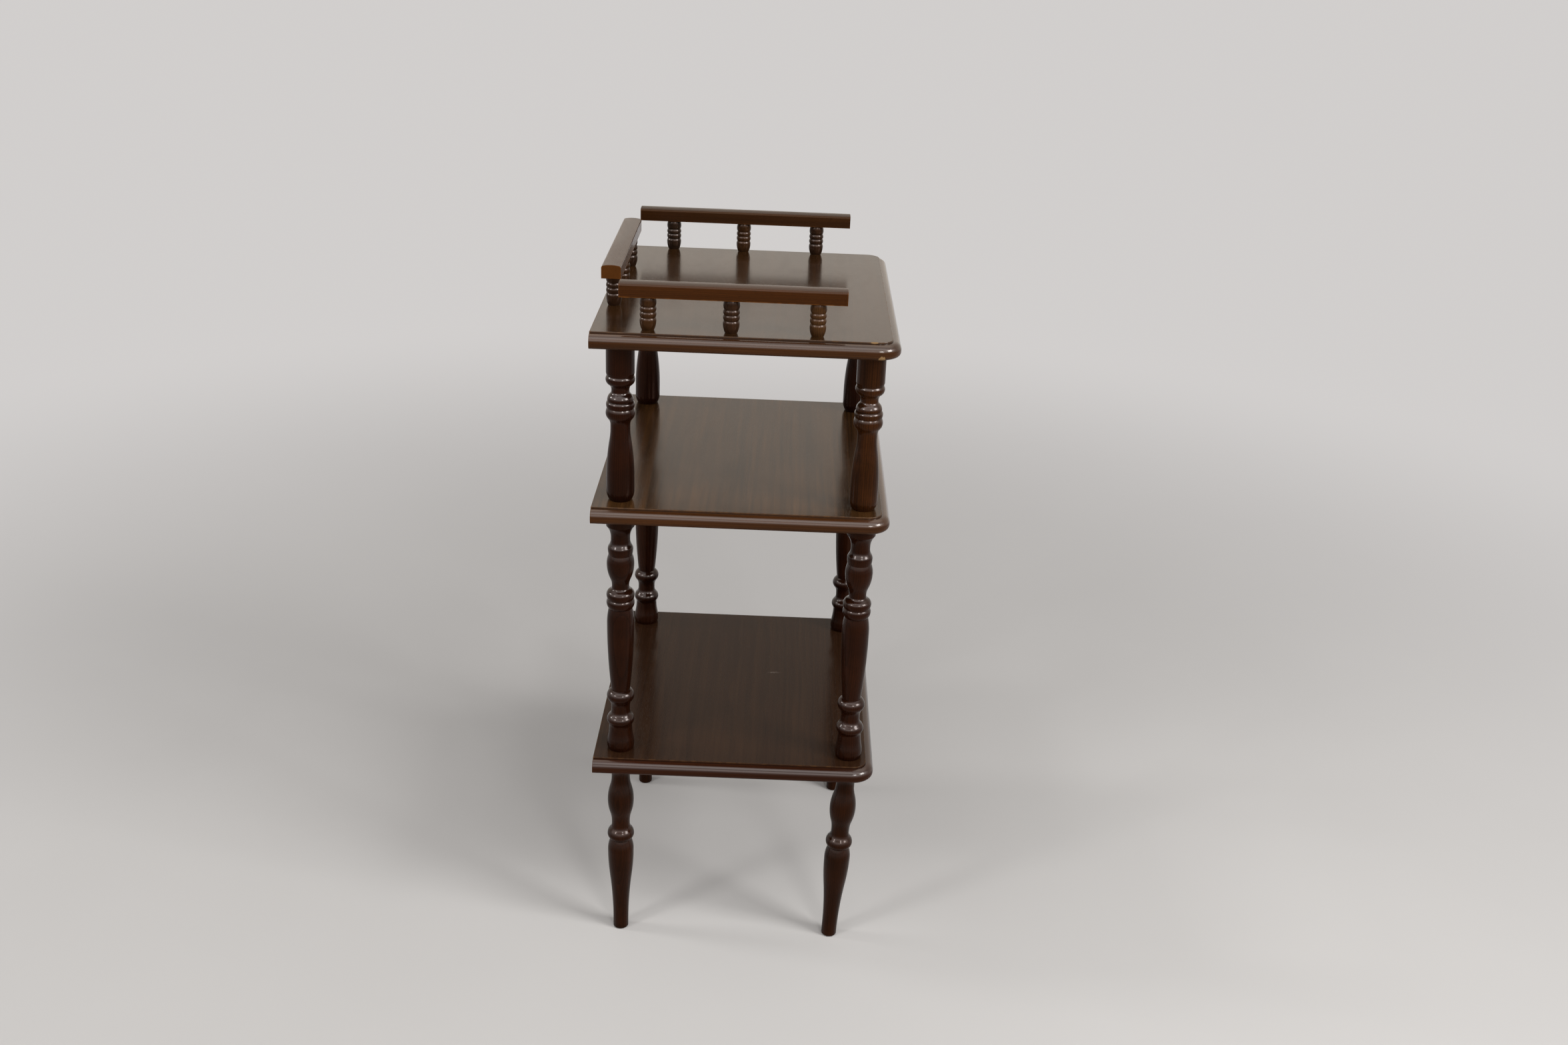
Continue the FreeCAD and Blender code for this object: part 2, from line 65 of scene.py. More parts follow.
# Seed of the random draws that give turned pieces and rails their grain, and the ranges of those draws: the
# grain's own seed, and in millimetres the place of the pith and the width of the growth rings
DRAW_SEED = 12
GRAIN_SEEDS = (0.0, 60.0)
TURNED_PITH = (14.0, 34.0)
TURNED_RINGS = (1.7, 2.6)
RAIL_PITH_ASIDE = (-18.0, 18.0)
RAIL_PITH_OFF = (16.0, 30.0)
RAIL_RINGS = (1.5, 2.2)

# Written colours, each part from 0 to 255
# The next three are painted shade, the dark laid into closed-in quirks, corners and the step round each
# shelf
GROOVE_PAINTED_SHADE = (13, 7, 5)
RAIL_PAINTED_SHADE = (16, 9, 6)
SHELF_PAINTED_SHADE = (15, 8, 5)
RUBBED_EDGE = (134, 92, 48)
CHIPPED_WOOD = (144, 113, 76)
SCUFFED_COAT = (128, 116, 108)
DULL_ZINC = (150, 150, 148)
BRIGHT_ZINC = (196, 196, 190)
BEECH = (196, 158, 116)
PALE_BEECH = (214, 180, 138)
BEECH_FLECK = (150, 108, 70)

# Finish of a turned piece: deep, warm and worn tone, how far its edges are rubbed, the weight of its clear
# coat on faces that look up, and the roughness of that coat
Turning = namedtuple("Turning", "deep warm worn rubbed gloss haze")

# Finish of a rail: the axis of its grain, deep, warm and worn tone, and the weight of its clear coat on
# faces that look up
Rail = namedtuple("Rail", "axis deep warm worn gloss")

# Finish of a shelf: the seed of its grain, deep and warm tone of its panel and of its moulding, the
# refractive index of the wood, the weight of the panel's clear coat, and the marks on it
Shelf = namedtuple("Shelf", "seed deep warm edge_deep edge_warm ior gloss chips scuffs")

# Mark on a shelf, in millimetres from the shelf's centre, turned about the upright axis in radians
Mark = namedtuple("Mark", "middle turn half_size")

# Lamp: its name, where it hangs, what it looks at and its two sides in metres, and its power in watts
Lamp = namedtuple("Lamp", "name spot aim sides watts")


def centre_of(node):
    """The middle of a node's box, in metres."""
    low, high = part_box(node)
    return (low + high) / 2


def half_size(node):
    """Half the width, depth and height of a node, in millimetres."""
    low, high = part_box(node)
    return (high - low) / (2 * MILLIMETRE)


def shade(colour):
    """A written colour as a linear one."""
    linear = []
    for part in colour:
        part = part / 255
        linear.append(part / 12.92 if part <= 0.04045 else ((part + 0.055) / 1.055) ** 2.4)
    return (*linear, 1.0)


def darker(colour, share):
    """A written colour brought down to a share of itself, as a linear one."""
    return shade([part * share for part in colour])


class Graph:
    """Adds the nodes of one tree and links them."""

    def __init__(self, tree):
        self.tree = tree

    def add(self, kind, values=None, **settings):
        """A node with its settings, and its inputs linked or filled in by name or number."""
        made = self.tree.nodes.new("ShaderNode" + kind)
        for name, value in settings.items():
            setattr(made, name, value)
        for name, value in (values or {}).items():
            self.feed(made.inputs[name], value)
        return made

    def feed(self, socket, value):
        """Links a socket to another one, or gives it a plain value."""
        if isinstance(value, bpy.types.NodeSocket):
            self.tree.links.new(value, socket)
        else:
            socket.default_value = value

    def group(self, tree, **values):
        """The outputs of a group, with its inputs linked or filled in by name."""
        made = self.add("Group", node_tree=tree)
        for name, value in values.items():
            self.feed(made.inputs[name.replace("_", " ").title()], value)
        return made.outputs

    def math(self, operation, *values):
        return self.add("Math", dict(enumerate(values)), operation=operation).outputs["Value"]

    def vector(self, operation, *values):
        made = self.add("VectorMath", dict(enumerate(values)), operation=operation)
        return made.outputs["Value" if operation == "LENGTH" else "Vector"]

    def stretch(self, place, across, along):
        """The place scaled across the grain and along it."""
        return self.vector("MULTIPLY", place, (across, across, along))

    def parts(self, place):
        """The X, Y and Z of a place."""
        return self.add("SeparateXYZ", {"Vector": place}).outputs

    def joined(self, first, second, third):
        """A place made of three parts."""
        return self.add("CombineXYZ", {"X": first, "Y": second, "Z": third}).outputs["Vector"]

    def normal(self):
        """The way that the surface looks, without its bump."""
        return self.add("NewGeometry").outputs["Normal"]

    def noise(self, place, detail=2.0, roughness=0.5, distortion=0.0):
        values = {"Vector": place, "Scale": 1.0, "Detail": detail}
        values |= {"Roughness": roughness, "Distortion": distortion}
        return self.add("TexNoise", values).outputs["Fac"]

    def occlusion(self, reach, inside=False):
        """How open a point is within reach in metres, outside its own piece or inside it."""
        settings = {"samples": 12, "inside": inside, "only_local": True}
        return self.add("AmbientOcclusion", {"Distance": reach}, **settings).outputs["AO"]

    def ease(self, value, start, end, low=0.0, high=1.0):
        """A smooth step from low at start to high at end."""
        values = {"Value": value, "From Min": start, "From Max": end, "To Min": low, "To Max": high}
        return self.add("MapRange", values, interpolation_type="SMOOTHSTEP").outputs["Result"]

    def between(self, data_type, kind, share, first, second):
        """A Mix node. Its sockets for colours and numbers share names, but not identifiers."""
        made = self.add("Mix", data_type=data_type)
        ends = {"Factor_Float": share, "A_" + kind: first, "B_" + kind: second}
        for socket in made.inputs:
            if socket.identifier in ends:
                self.feed(socket, ends[socket.identifier])
        return next(socket for socket in made.outputs if socket.identifier == "Result_" + kind)

    def mix(self, share, first, second):
        """A colour between first and second."""
        return self.between("RGBA", "Color", share, first, second)

    def blend(self, share, first, second):
        """A number between first and second."""
        return self.between("FLOAT", "Float", share, first, second)

    def cover(self, colour, mask, most, layer):
        """The colour under a layer, which hides this much of it where the mask is 1."""
        return self.mix(self.math("MULTIPLY", mask, most), colour, layer)

    def weighted(self, *terms, base=0.0):
        """A base plus some masks, each times its weight."""
        total = base
        for mask, weight in terms:
            total = self.math("MULTIPLY_ADD", mask, weight, total)
        return total

    def thinned(self, coat, mask, share=1.0):
        """The weight of a coat that loses this share of it where the mask is 1."""
        return self.math("MULTIPLY", self.weighted((mask, -share), base=1.0), coat)

    def away_from(self, mark, place):
        """How far a place is from the middle of a mark, where 1 is the mark's rim."""
        values = {"Vector": place, "Location": mark.middle}
        values |= {"Rotation": (0.0, 0.0, mark.turn), "Scale": mark.half_size}
        return self.vector("LENGTH", self.add("Mapping", values, vector_type="TEXTURE").outputs["Vector"])


def new_group(name, inputs, outputs):
    """A shader node group with named sockets, and its graph, inputs and outputs."""
    tree = bpy.data.node_groups.new(name, "ShaderNodeTree")
    for socket, kind in inputs.items():
        tree.interface.new_socket(socket, in_out="INPUT", socket_type="NodeSocket" + kind)
    for socket in outputs:
        tree.interface.new_socket(socket, in_out="OUTPUT", socket_type="NodeSocketFloat")
    source = tree.nodes.new("NodeGroupInput")
    sink = tree.nodes.new("NodeGroupOutput")
    return tree, Graph(tree), source.outputs, sink.inputs


def grain_group():
    """Growth rings about a pith, streaks, bands, mottled stain and open pores, for wood in millimetres."""
    inputs = {"Place": "Vector", "Pith": "Vector", "Ring Width": "Float", "Sway": "Float", "Seed": "Float"}
    outputs = ("Rings", "Streak", "Band", "Mottle", "Pore")
    tree, graph, source, sink = new_group("stained_grain", inputs, outputs)
    shift = {0: (37.0, 17.0, 91.0), "Scale": source["Seed"]}
    offset = graph.add("VectorMath", shift, operation="SCALE").outputs["Vector"]
    place = graph.vector("ADD", source["Place"], offset)

    bend = graph.noise(graph.stretch(place, 0.016, 0.0045))
    from_pith = graph.vector("SUBTRACT", source["Place"], source["Pith"])
    straight = graph.vector("LENGTH", graph.stretch(from_pith, 1.0, 0.02))
    reach = graph.math("MULTIPLY_ADD", bend, source["Sway"], straight)
    rings = graph.math("DIVIDE", reach, source["Ring Width"])
    growth = graph.math("FRACT", rings)
    year = {"W": graph.math("FLOOR", rings)}
    strong = graph.add("TexWhiteNoise", year, noise_dimensions="1D").outputs["Value"]
    line = graph.math("MULTIPLY", graph.ease(growth, 0.25, 0.93), graph.ease(growth, 1.0, 0.94))
    graph.feed(sink["Rings"], graph.math("MULTIPLY", line, graph.weighted((strong, 0.6), base=0.4)))

    fine = graph.noise(graph.stretch(place, 1.1, 0.012), detail=3.0, roughness=0.6)
    wide = graph.noise(graph.stretch(place, 0.27, 0.005))
    band = graph.noise(graph.stretch(place, 0.055, 0.0022))
    mottle = graph.noise(graph.stretch(place, 0.02, 0.034))
    pore = graph.noise(graph.stretch(place, 3.6, 0.13), detail=1.0)
    graph.feed(sink["Streak"], graph.ease(graph.weighted((fine, 0.5), (wide, 0.5)), 0.34, 0.66))
    graph.feed(sink["Band"], graph.ease(band, 0.3, 0.7))
    graph.feed(sink["Mottle"], graph.ease(mottle, 0.34, 0.66))
    graph.feed(sink["Pore"], graph.ease(pore, 0.6, 0.72))
    return tree


def rub_group():
    """Where hands and cloths have rubbed the stain off proud edges."""
    inputs = {"Place": "Vector", "Reach": "Float", "Spread": "Float"}
    tree, graph, source, sink = new_group("rubbed_edges", inputs, ("Rub",))
    edge = graph.ease(graph.occlusion(source["Reach"], inside=True), 0.82, 0.5)
    cloudy = graph.noise(graph.stretch(source["Place"], 0.11, 0.11), detail=4.0, roughness=0.65)
    patch = graph.math("MAXIMUM", graph.ease(cloudy, 0.38, 0.66), source["Spread"])
    graph.feed(sink["Rub"], graph.math("MULTIPLY", edge, patch))
    return tree


def groove_group():
    """Painted shade in quirks, coves and corners, where the surface is closed in; the same mask marks old
    polish there that dulls the coat.
    """
    tree, graph, source, sink = new_group("groove_painted_shade_and_glaze", {"Reach": "Float"}, ("Shade And Glaze",))
    graph.feed(sink["Shade And Glaze"], graph.ease(graph.occlusion(source["Reach"]), 0.86, 0.38))
    return tree


def lacquer_group():
    """The skin of brushed lacquer: its ripple, wiped smears and hairline scratches."""
    outputs = ("Ripple", "Smear", "Scratch")
    tree, graph, source, sink = new_group("lacquer_skin", {"Place": "Vector"}, outputs)
    place = source["Place"]
    graph.feed(sink["Ripple"], graph.noise(graph.stretch(place, 0.32, 0.32), roughness=0.45))
    smear = graph.noise(graph.stretch(place, 0.035, 0.016), detail=3.0, roughness=0.6, distortion=0.8)
    graph.feed(sink["Smear"], graph.ease(smear, 0.32, 0.7))
    slant = {"Vector": place, "Rotation": (0.4, 0.7, 0.25), "Scale": (0.9, 0.9, 0.018)}
    hairline = graph.noise(graph.add("Mapping", slant).outputs["Vector"], detail=1.0)
    patch = graph.noise(graph.stretch(place, 0.05, 0.05), detail=1.0)
    scratch = graph.math("MULTIPLY", graph.ease(hairline, 0.70, 0.76), graph.ease(patch, 0.45, 0.7))
    graph.feed(sink["Scratch"], scratch)
    return tree


def spray_group():
    """Weight of the clear coat, sprayed from above: thin on upright faces, thick on those that look up."""
    inputs = {"Side": "Float", "Top": "Float"}
    tree, graph, source, sink = new_group("sprayed_coat", inputs, ("Coat",))
    rise = graph.parts(graph.normal())["Z"]
    graph.feed(sink["Coat"], graph.ease(rise, 0.08, 0.42, source["Side"], source["Top"]))
    return tree


def inset_group():
    """Millimetres from a point to the outline of its shelf, and where a side is nearer than the front."""
    tree, graph, source, sink = new_group("shelf_inset", {"Place": "Vector"}, ("Inset", "Side"))
    half = half_size("top_shelf")
    spot = graph.parts(source["Place"])
    sideways = graph.math("SUBTRACT", graph.math("ABSOLUTE", spot["X"]), half.x - SHELF_CORNER)
    forward = graph.math("SUBTRACT", graph.math("MULTIPLY", spot["Y"], -1.0), half.y - SHELF_CORNER)
    outer = graph.joined(graph.math("MAXIMUM", sideways, 0.0), graph.math("MAXIMUM", forward, 0.0), 0.0)
    inner = graph.math("MINIMUM", graph.math("MAXIMUM", sideways, forward), 0.0)
    beyond = graph.math("ADD", graph.vector("LENGTH", outer), inner)
    graph.feed(sink["Inset"], graph.math("SUBTRACT", SHELF_CORNER, beyond))
    graph.feed(sink["Side"], graph.math("GREATER_THAN", sideways, forward))
    return tree


GRAIN = grain_group()
RUB = rub_group()
GROOVE = groove_group()
LACQUER = lacquer_group()
SPRAY = spray_group()
INSET = inset_group()


def new_finish(name):
    """A material with only a Principled BSDF, and its graph and shader."""
    finish = bpy.data.materials.new(name)
    finish.use_nodes = True
    finish.node_tree.nodes.clear()
    graph = Graph(finish.node_tree)
    shader = graph.add("BsdfPrincipled")
    graph.add("OutputMaterial", {"Surface": shader.outputs["BSDF"]})
    return finish, graph, shader


def wood_place(graph, centre, axis):
    """Object coordinates about a centre, in millimetres, with grain along this axis on the third one."""
    values = {"Vector": graph.add("TexCoord").outputs["Object"], "Location": tuple(centre)}
    values |= {"Rotation": GRAIN_TURN[axis], "Scale": (MILLIMETRE, MILLIMETRE, MILLIMETRE)}
    return graph.add("Mapping", values, vector_type="TEXTURE").outputs["Vector"]


def surface(graph, shader, colour, roughness, height, depth):
    """Feeds what changes over a surface: its colour, its roughness and a bump of some depth in metres."""
    graph.feed(shader.inputs["Base Color"], colour)
    graph.feed(shader.inputs["Roughness"], roughness)
    relief = graph.add("Bump", {"Height": height, "Strength": 1.0, "Distance": depth})
    graph.feed(shader.inputs["Normal"], relief.outputs["Normal"])


def lacquer(graph, shader, coat, ior, tint, coat_ior, haze):
    """Warm shellac in the wood under a thin clear coat, whose weight changes over the surface."""
    graph.feed(shader.inputs["Coat Weight"], coat)
    shader.inputs["IOR"].default_value = ior
    shader.inputs["Specular Tint"].default_value = (*tint, 1.0)
    shader.inputs["Coat IOR"].default_value = coat_ior
    shader.inputs["Coat Roughness"].default_value = haze


def turned_finish(node, chance, stain):
    """Lacquered turned wood, with its own pith and seed."""
    finish, graph, shader = new_finish(f"turned_wood_{node}")
    place = wood_place(graph, centre_of(node), "Z")
    angle = chance.uniform(0.0, 2 * math.pi)
    far = chance.uniform(*TURNED_PITH)
    width = chance.uniform(*TURNED_RINGS)
    seed = chance.uniform(*GRAIN_SEEDS)
    pith = (far * math.cos(angle), far * math.sin(angle), 0.0)
    wood = graph.group(GRAIN, place=place, pith=pith, ring_width=width, sway=12.0, seed=seed)
    rub = graph.group(RUB, place=place, reach=0.003, spread=stain.rubbed)["Rub"]
    shade_and_glaze = graph.group(GROOVE, reach=0.0036)["Shade And Glaze"]
    skin = graph.group(LACQUER, place=place)

    tone = graph.weighted((wood["Band"], 0.3), (wood["Streak"], 0.35), (wood["Mottle"], 0.35))
    colour = graph.mix(tone, shade(stain.deep), shade(stain.warm))
    colour = graph.cover(colour, wood["Rings"], 0.45, darker(stain.deep, 0.5))
    colour = graph.cover(colour, wood["Pore"], 0.6, darker(stain.deep, 0.35))
    # Painted shade in closed-in quirks and grooves
    colour = graph.cover(colour, shade_and_glaze, 0.8, shade(GROOVE_PAINTED_SHADE))
    colour = graph.cover(colour, rub, 0.6, shade(stain.worn))
    dull = graph.weighted((skin["Smear"], 0.1), (shade_and_glaze, 0.2), (rub, 0.05), base=0.16)
    height = graph.weighted((skin["Ripple"], 0.4), (wood["Pore"], -0.15), (wood["Rings"], -0.08))
    surface(graph, shader, colour, dull, height, depth=0.00005)
    coat = graph.thinned(graph.group(SPRAY, side=0.03, top=stain.gloss)["Coat"], shade_and_glaze, 0.45)
    lacquer(graph, shader, coat, ior=1.2, tint=(1.0, 0.45, 0.25), coat_ior=1.7, haze=stain.haze)
    return finish


def rail_finish(node, chance, stain):
    """Lacquered rail, with end grain where it is sawn across."""
    finish, graph, shader = new_finish(f"rail_wood_{node}")
    place = wood_place(graph, centre_of(node), stain.axis)
    pith = (chance.uniform(*RAIL_PITH_ASIDE), chance.uniform(*RAIL_PITH_OFF), 0.0)
    width = chance.uniform(*RAIL_RINGS)
    seed = chance.uniform(*GRAIN_SEEDS)
    wood = graph.group(GRAIN, place=place, pith=pith, ring_width=width, sway=10.0, seed=seed)
    rub = graph.group(RUB, place=place, reach=0.0022, spread=0.25)["Rub"]
    shade_and_glaze = graph.group(GROOVE, reach=0.004)["Shade And Glaze"]
    skin = graph.group(LACQUER, place=place)
    sawn = graph.ease(graph.parts(graph.vector("ABSOLUTE", graph.normal()))[stain.axis], 0.75, 0.95)

    tone = graph.weighted((wood["Band"], 0.5), (wood["Streak"], 0.5))
    colour = graph.mix(tone, shade(stain.deep), shade(stain.warm))
    colour = graph.cover(colour, wood["Rings"], 0.4, darker(stain.deep, 0.6))
    colour = graph.cover(colour, wood["Pore"], 0.5, darker(stain.deep, 0.4))
    colour = graph.cover(colour, sawn, 0.15, shade(stain.worn))
    # Painted shade in closed-in corners and grooves
    colour = graph.cover(colour, shade_and_glaze, 0.7, shade(RAIL_PAINTED_SHADE))
    colour = graph.cover(colour, rub, 0.5, shade(stain.worn))
    dull = graph.weighted((skin["Smear"], 0.1), (sawn, 0.25), base=0.2)
    height = graph.weighted((skin["Ripple"], 0.3), (wood["Pore"], -0.25), (wood["Rings"], -0.2))
    surface(graph, shader, colour, dull, height, depth=0.00006)
    bare = graph.math("MAXIMUM", rub, sawn)
    coat = graph.thinned(graph.group(SPRAY, side=0.06, top=stain.gloss)["Coat"], bare)
    lacquer(graph, shader, coat, ior=1.28, tint=(1.0, 0.6, 0.32), coat_ior=1.45, haze=0.1)
    return finish


def shelf_finish(node, stain):
    """Veneered panel with its grain from side to side, edged with a moulding along the sides and front."""
    finish, graph, shader = new_finish(f"shelf_wood_{node}")
    flat = wood_place(graph, centre_of(node), "Z")
    across = wood_place(graph, centre_of(node), "X")
    edge = graph.group(INSET, place=flat)
    panel = graph.ease(edge["Inset"], MOULDING - PANEL_LINE, MOULDING + PANEL_LINE)
    spot = graph.parts(flat)
    along = graph.joined(edge["Inset"], spot["Z"], graph.blend(edge["Side"], spot["X"], spot["Y"]))
    pith = (-260.0, 30.0, 0.0)
    veneer = graph.group(GRAIN, place=across, pith=pith, ring_width=3.1, sway=9.0, seed=stain.seed)
    pith = (9.0, -14.0, 0.0)
    strip = graph.group(GRAIN, place=along, pith=pith, ring_width=2.0, sway=9.0, seed=stain.seed + 5.0)
    rings = graph.blend(panel, strip["Rings"], veneer["Rings"])
    pore = graph.blend(panel, strip["Pore"], veneer["Pore"])
    rub = graph.group(RUB, place=flat, reach=0.0025, spread=0.15)["Rub"]
    shade_and_glaze = graph.group(GROOVE, reach=0.003)["Shade And Glaze"]
    skin = graph.group(LACQUER, place=across)
    under = graph.ease(graph.parts(graph.normal())["Z"], -0.6, -0.9)

    tone = graph.weighted((veneer["Band"], 0.4), (veneer["Streak"], 0.6))
    board = graph.mix(tone, shade(stain.deep), shade(stain.warm))
    tone = graph.weighted((strip["Band"], 0.5), (strip["Streak"], 0.5))
    moulding = graph.mix(tone, shade(stain.edge_deep), shade(stain.edge_warm))
    colour = graph.mix(panel, moulding, board)
    colour = graph.cover(colour, rings, 0.3, darker(stain.deep, 0.6))
    colour = graph.cover(colour, pore, 0.4, darker(stain.deep, 0.45))
    # Painted shade in closed-in corners and at the step round the panel
    colour = graph.cover(colour, shade_and_glaze, 0.85, shade(SHELF_PAINTED_SHADE))
    colour = graph.cover(colour, rub, 0.5, shade(RUBBED_EDGE))
    bare = rub
    ragged = graph.noise(graph.stretch(flat, 0.5, 0.5), detail=3.0)
    for mark in stain.chips:
        away = graph.away_from(mark, flat)
        chip = graph.ease(graph.weighted((ragged, 1.1), base=away), 1.6, 1.35)
        colour = graph.mix(chip, colour, shade(CHIPPED_WOOD))
        bare = graph.math("MAXIMUM", bare, chip)
    for mark in stain.scuffs:
        away = graph.away_from(mark, flat)
        scuff = graph.math("MULTIPLY", graph.ease(away, 1.0, 0.1), graph.ease(ragged, 0.3, 0.7))
        colour = graph.cover(colour, scuff, 0.8, shade(SCUFFED_COAT))
        bare = graph.math("MAXIMUM", bare, scuff)
    dull = graph.weighted((skin["Smear"], 0.08), (under, 0.35), (bare, 0.3), base=0.16)
    dented = graph.math("MAXIMUM", bare, skin["Scratch"])
    height = graph.weighted((pore, -0.25), (veneer["Streak"], 0.25), (skin["Ripple"], 0.35), (dented, -0.6))
    surface(graph, shader, colour, dull, height, depth=0.00006)
    coat = graph.blend(panel, graph.group(SPRAY, side=0.03, top=0.9)["Coat"], stain.gloss)
    coat = graph.thinned(coat, graph.math("MAXIMUM", bare, under))
    lacquer(graph, shader, coat, ior=stain.ior, tint=(1.0, 0.7, 0.5), coat_ior=1.55, haze=0.15)
    return finish


def steel_finish():
    """Drawn screw steel with a dull zinc skin."""
    finish, graph, shader = new_finish("screw_steel")
    shader.inputs["Metallic"].default_value = 1.0
    place = wood_place(graph, ORIGIN, "Z")
    skin = graph.group(LACQUER, place=place)
    drawn = graph.noise(graph.stretch(place, 3.0, 0.1))
    colour = graph.mix(skin["Smear"], shade(DULL_ZINC), shade(BRIGHT_ZINC))
    surface(graph, shader, colour, graph.weighted((drawn, 0.2), base=0.25), drawn, depth=0.00005)
    return finish


def beech_finish():
    """Bare beech dowels."""
    finish, graph, shader = new_finish("dowel_beech")
    place = wood_place(graph, ORIGIN, "Z")
    pith = (400.0, 60.0, 0.0)
    wood = graph.group(GRAIN, place=place, pith=pith, ring_width=1.8, sway=8.0, seed=8.0)
    colour = graph.mix(wood["Streak"], shade(BEECH), shade(PALE_BEECH))
    colour = graph.cover(colour, wood["Pore"], 0.5, shade(BEECH_FLECK))
    dull = graph.weighted((wood["Streak"], 0.15), base=0.6)
    surface(graph, shader, colour, dull, wood["Pore"], depth=0.0001)
    return finish


def post_stain(deep, warm, gloss):
    """A post or leg, little rubbed."""
    return Turning(deep, warm, worn=(84, 46, 22), rubbed=0.1, gloss=gloss, haze=0.17)


def spindle_stain(deep, warm, rubbed):
    """A gallery spindle, with a duller coat than a post."""
    return Turning(deep, warm, worn=(130, 92, 52), rubbed=rubbed, gloss=0.32, haze=0.26)


# Stain of the posts and legs, by the end of their names, and of the one post that is lighter
POST_STAIN = {
    "_upper_post": post_stain((22, 8, 4), (41, 17, 7), gloss=0.52),
    "_lower_post": post_stain((22, 8, 4), (44, 19, 7), gloss=0.4),
    "_leg": post_stain((23, 9, 3), (49, 22, 7), gloss=0.3),
}
TAWNY_POST = post_stain((29, 13, 4), (69, 37, 14), gloss=0.54)

# Stain of the spindles, lightest to darkest
GOLDEN = spindle_stain((48, 29, 14), (82, 54, 28), rubbed=0.6)
BROWN = spindle_stain((40, 24, 11), (64, 40, 20), rubbed=0.45)
DARK = spindle_stain((34, 21, 13), (58, 37, 22), rubbed=0.35)
BLACK = spindle_stain((24, 17, 12), (42, 29, 19), rubbed=0.25)
TURNED_STAIN = {
    "front_left_upper_post": TAWNY_POST,
    "left_spindle_back": BROWN,
    "left_spindle_middle": DARK,
    "left_spindle_front": GOLDEN,
    "right_spindle_back": BLACK,
    "right_spindle_middle": BROWN,
    "right_spindle_front": DARK,
    "back_spindle_left": DARK,
    "back_spindle_middle": BROWN,
    "back_spindle_right": DARK,
}

RAIL_STAIN = {
    "left_rail": Rail("Y", deep=(48, 21, 3), warm=(67, 33, 7), worn=(150, 92, 38), gloss=0.35),
    "right_rail": Rail("Y", deep=(39, 20, 8), warm=(56, 31, 13), worn=(110, 68, 34), gloss=0.12),
    "back_rail": Rail("X", deep=(48, 21, 3), warm=(67, 33, 7), worn=(140, 86, 36), gloss=0.5),
}

# Bare wood at the front left corner of the top shelf, and a pale stroke on the bottom shelf
CORNER_CHIPS = (
    Mark(middle=(-182.7, -125.2, 7.8), turn=0.0, half_size=(1.5, 3.9, 1.0)),
    Mark(middle=(-189.0, -132.5, -6.6), turn=0.0, half_size=(4.0, 3.8, 3.2)),
)
PALE_SCUFFS = (Mark(middle=(28.5, -40.3, 8.2), turn=0.1, half_size=(2.6, 10.0, 3.0)),)

SHELF_STAIN = {
    "top_shelf": Shelf(
        seed=3.0,
        deep=(45, 27, 12),
        warm=(66, 42, 21),
        edge_deep=(44, 23, 9),
        edge_warm=(70, 40, 18),
        ior=1.25,
        gloss=0.7,
        chips=CORNER_CHIPS,
        scuffs=(),
    ),
    "middle_shelf": Shelf(
        seed=21.0,
        deep=(42, 27, 14),
        warm=(84, 55, 28),
        edge_deep=(48, 26, 11),
        edge_warm=(76, 44, 21),
        ior=1.22,
        gloss=0.5,
        chips=(),
        scuffs=(),
    ),
    "bottom_shelf": Shelf(
        seed=40.0,
        deep=(43, 25, 15),
        warm=(55, 35, 21),
        edge_deep=(40, 18, 9),
        edge_warm=(62, 31, 16),
        ior=1.17,
        gloss=0.12,
        chips=(),
        scuffs=PALE_SCUFFS,
    ),
}


def turned_stain(node):
    """The stain of a turned piece, or None where the node isn't turned."""
    if node in TURNED_STAIN:
        return TURNED_STAIN[node]
    return next((stain for ending, stain in POST_STAIN.items() if node.endswith(ending)), None)


def clothe(node, finish):
    """Puts a finish in every material slot of a frame node."""
    for slot in frame["nodes"][node].material_slots:
        slot.material = finish


def dress_frame():
    """Gives every node of the frame its finish."""
    chance = random.Random(DRAW_SEED)
    for node in sorted(frame["nodes"]):
        stain = turned_stain(node)
        if stain:
            clothe(node, turned_finish(node, chance, stain))
    for node, stain in RAIL_STAIN.items():
        clothe(node, rail_finish(node, chance, stain))
    for node, stain in SHELF_STAIN.items():
        clothe(node, shelf_finish(node, stain))
    steel = steel_finish()
    clothe("bottom_shelf_dowel_screws", steel)
    clothe("middle_shelf_dowel_screws", steel)
    clothe("top_shelf_dowels", beech_finish())


# Linear colours of the background and of the warm light that gloss mirrors from the right
PALE = (0.64, 0.62, 0.61, 1.0)
WARM = (0.65, 0.59, 0.52, 1.0)

# Linear colours of the floor, half its side in metres, and its fade in millimetres from the origin
FLOOR_DARK = (0.66, 0.64, 0.62, 1.0)
FLOOR_LIGHT = (0.69, 0.67, 0.65, 1.0)
FLOOR_HALF = 7.0
FADE_START = 500.0
FADE_END = 2400.0


